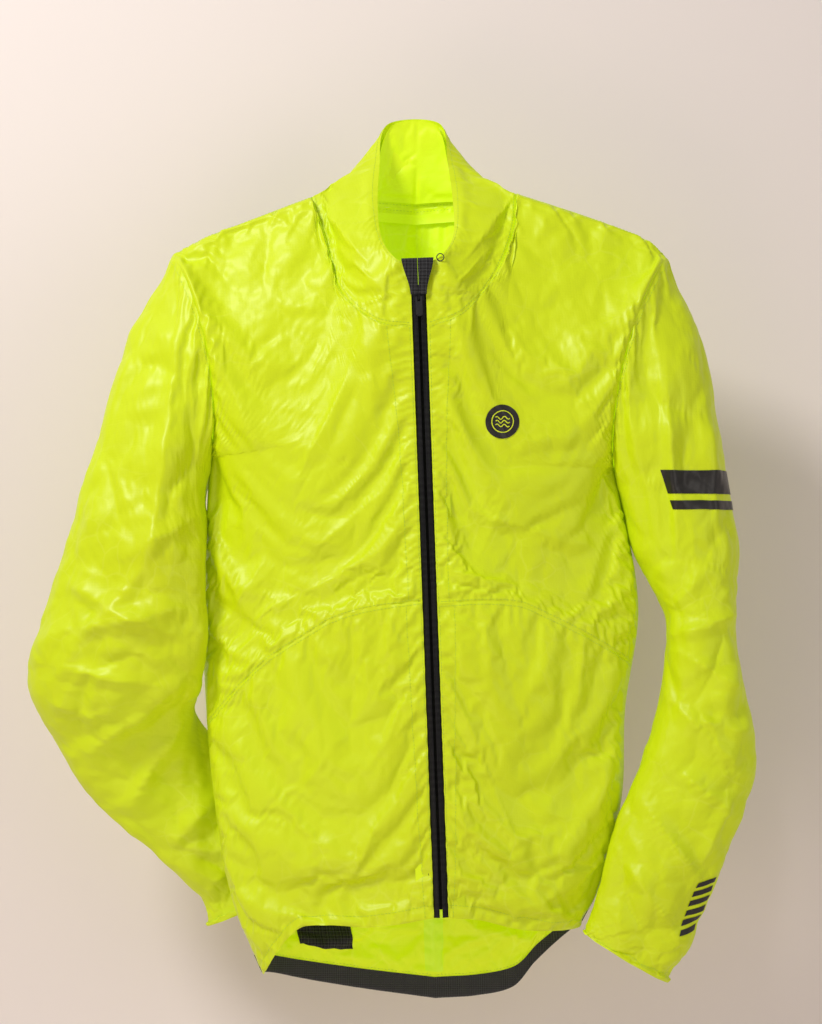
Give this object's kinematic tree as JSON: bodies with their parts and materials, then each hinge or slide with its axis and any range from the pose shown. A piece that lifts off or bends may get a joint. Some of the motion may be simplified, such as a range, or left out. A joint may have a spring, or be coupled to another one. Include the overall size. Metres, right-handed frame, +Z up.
{
  "type": "foul weather jacket",
  "caption": "Thin rain jacket with stand collar, full front zip, set-in sleeves and a longer bound tail, as it hangs.",
  "frame": {"origin": "inside of the back neck seam, where the neck of a hanger stands", "axes": "+Z up, -Y out of the jacket's front, +X to the wearer's left"},
  "size_m": [0.6711, 0.1524, 0.8266],
  "materials": {
    "shell_cloth": "satin",
    "lining": "satin",
    "zip_tape": "satin",
    "black_mesh": "matte",
    "black_plastic": "gloss",
    "black_elastic": "matte",
    "transfer_film": "satin",
    "white_label": "satin",
    "black_cord": "matte"
  },
  "bodies": {
    "torso": {"front_lower_right": "shell_cloth", "front_upper_right": "shell_cloth", "front_lower_left": "shell_cloth", "front_upper_left": "shell_cloth", "back_body_right": "shell_cloth", "back_body_left": "shell_cloth", "back_yoke": "shell_cloth", "back_seam_tape": "lining", "hem_binding": "black_elastic", "hem_elastic_right": "black_elastic", "hem_elastic_left": "black_elastic", "mesh_vent_panel": "black_mesh", "collar_outer": "shell_cloth", "collar_lining": "lining", "neck_tape": "lining", "care_label": "white_label", "zip_tape_right": "zip_tape", "zip_coil_right": "black_plastic", "zip_top_stop_right": "black_plastic", "zip_tape_left": "zip_tape", "zip_coil_left": "black_plastic", "zip_top_stop_left": "black_plastic", "zip_retainer_box": "black_plastic", "zip_insert_pin": "black_plastic", "zip_garage_right": "black_mesh", "zip_garage_left": "black_mesh", "front_facing_right": "lining", "front_facing_left": "lining", "storm_flap": "zip_tape", "chest_badge": "transfer_film", "collar_cord_loop": "black_cord"},
    "slider": {"zip_slider": "black_plastic"},
    "puller": {"zip_puller": "black_plastic"},
    "upper_sleeve_right": {"sleeve_upper_right": "shell_cloth"},
    "lower_sleeve_right": {"sleeve_lower_right": "shell_cloth", "cuff_elastic_right": "black_elastic"},
    "upper_sleeve_left": {"sleeve_upper_left": "shell_cloth", "armband_wide": "transfer_film", "armband_narrow": "transfer_film"},
    "lower_sleeve_left": {"sleeve_lower_left": "shell_cloth", "cuff_elastic_left": "black_elastic", "cuff_mark": "transfer_film"}
  },
  "joints": [
    {"name": "zip_slide", "type": "slide", "parent": "torso", "child": "slider", "axis": [0.0363, 0, -0.9993], "range_m": [0, 0.53]},
    {"name": "puller_flip", "type": "hinge", "parent": "slider", "child": "puller", "pos_m": [0.00409, -0.1136, -0.09998], "axis": [-0.9993, 0, -0.0363], "range_deg": [0, 80]},
    {"name": "shoulder_right", "type": "hinge", "parent": "torso", "child": "upper_sleeve_right", "pos_m": [-0.222, -0.048, -0.054], "axis": [0, 1, 0], "range_deg": [0, 60]},
    {"name": "elbow_right", "type": "hinge", "parent": "upper_sleeve_right", "child": "lower_sleeve_right", "pos_m": [-0.357, -0.058, -0.436], "axis": [0, 1, 0], "range_deg": [0, 50]},
    {"name": "shoulder_left", "type": "hinge", "parent": "torso", "child": "upper_sleeve_left", "pos_m": [0.232, -0.048, -0.056], "axis": [0, -1, 0], "range_deg": [0, 60]},
    {"name": "elbow_left", "type": "hinge", "parent": "upper_sleeve_left", "child": "lower_sleeve_left", "pos_m": [0.297, -0.06, -0.39], "axis": [0, -1, 0], "range_deg": [0, 27]}
  ]
}
